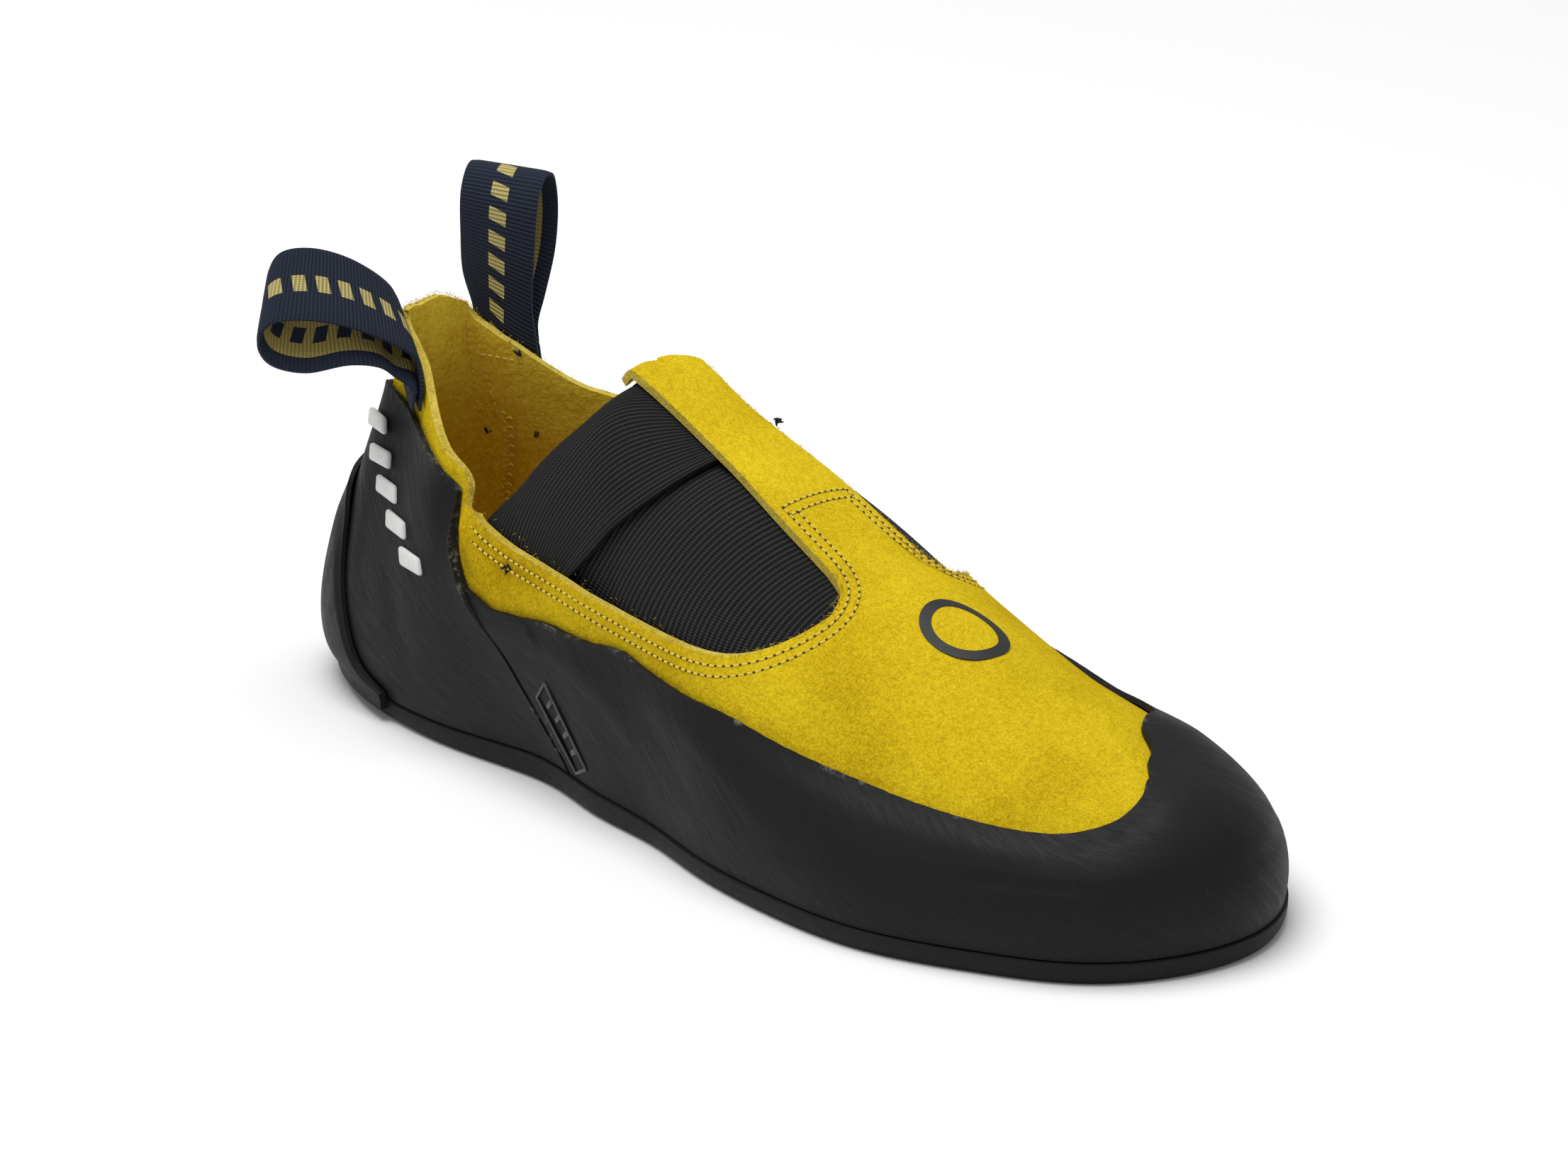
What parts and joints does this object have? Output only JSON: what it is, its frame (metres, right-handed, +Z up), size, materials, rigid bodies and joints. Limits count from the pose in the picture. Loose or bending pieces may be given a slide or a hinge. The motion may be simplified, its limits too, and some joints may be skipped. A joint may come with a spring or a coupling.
{
  "type": "climbing shoe",
  "caption": "Slip-on climbing shoe for the right foot: suede upper, stretch gores at the throat, rubber rands round toe and heel, thin outsole and two pull loops.",
  "frame": {"origin": "on the ground plane under the ball of the foot, on the middle of the forefoot's flat spot", "axes": "+X towards the toe, +Y towards the big-toe side, +Z up from the ground"},
  "size_m": [0.2547, 0.0938, 0.1129],
  "materials": {
    "suede": "napped yellow suede",
    "elastic": "ribbed black elastic",
    "rubber": "matte black rubber",
    "insole_board": "matte",
    "webbing": "woven navy tape"
  },
  "bodies": {
    "root": {"upper": "suede", "rear_gore": "elastic", "front_gore": "elastic", "toe_rand": "rubber", "heel_rand": "rubber", "outsole": "rubber", "insole": "insole_board", "pull_loop_outer": "webbing", "pull_loop_inner": "webbing"}
  },
  "joints": []
}
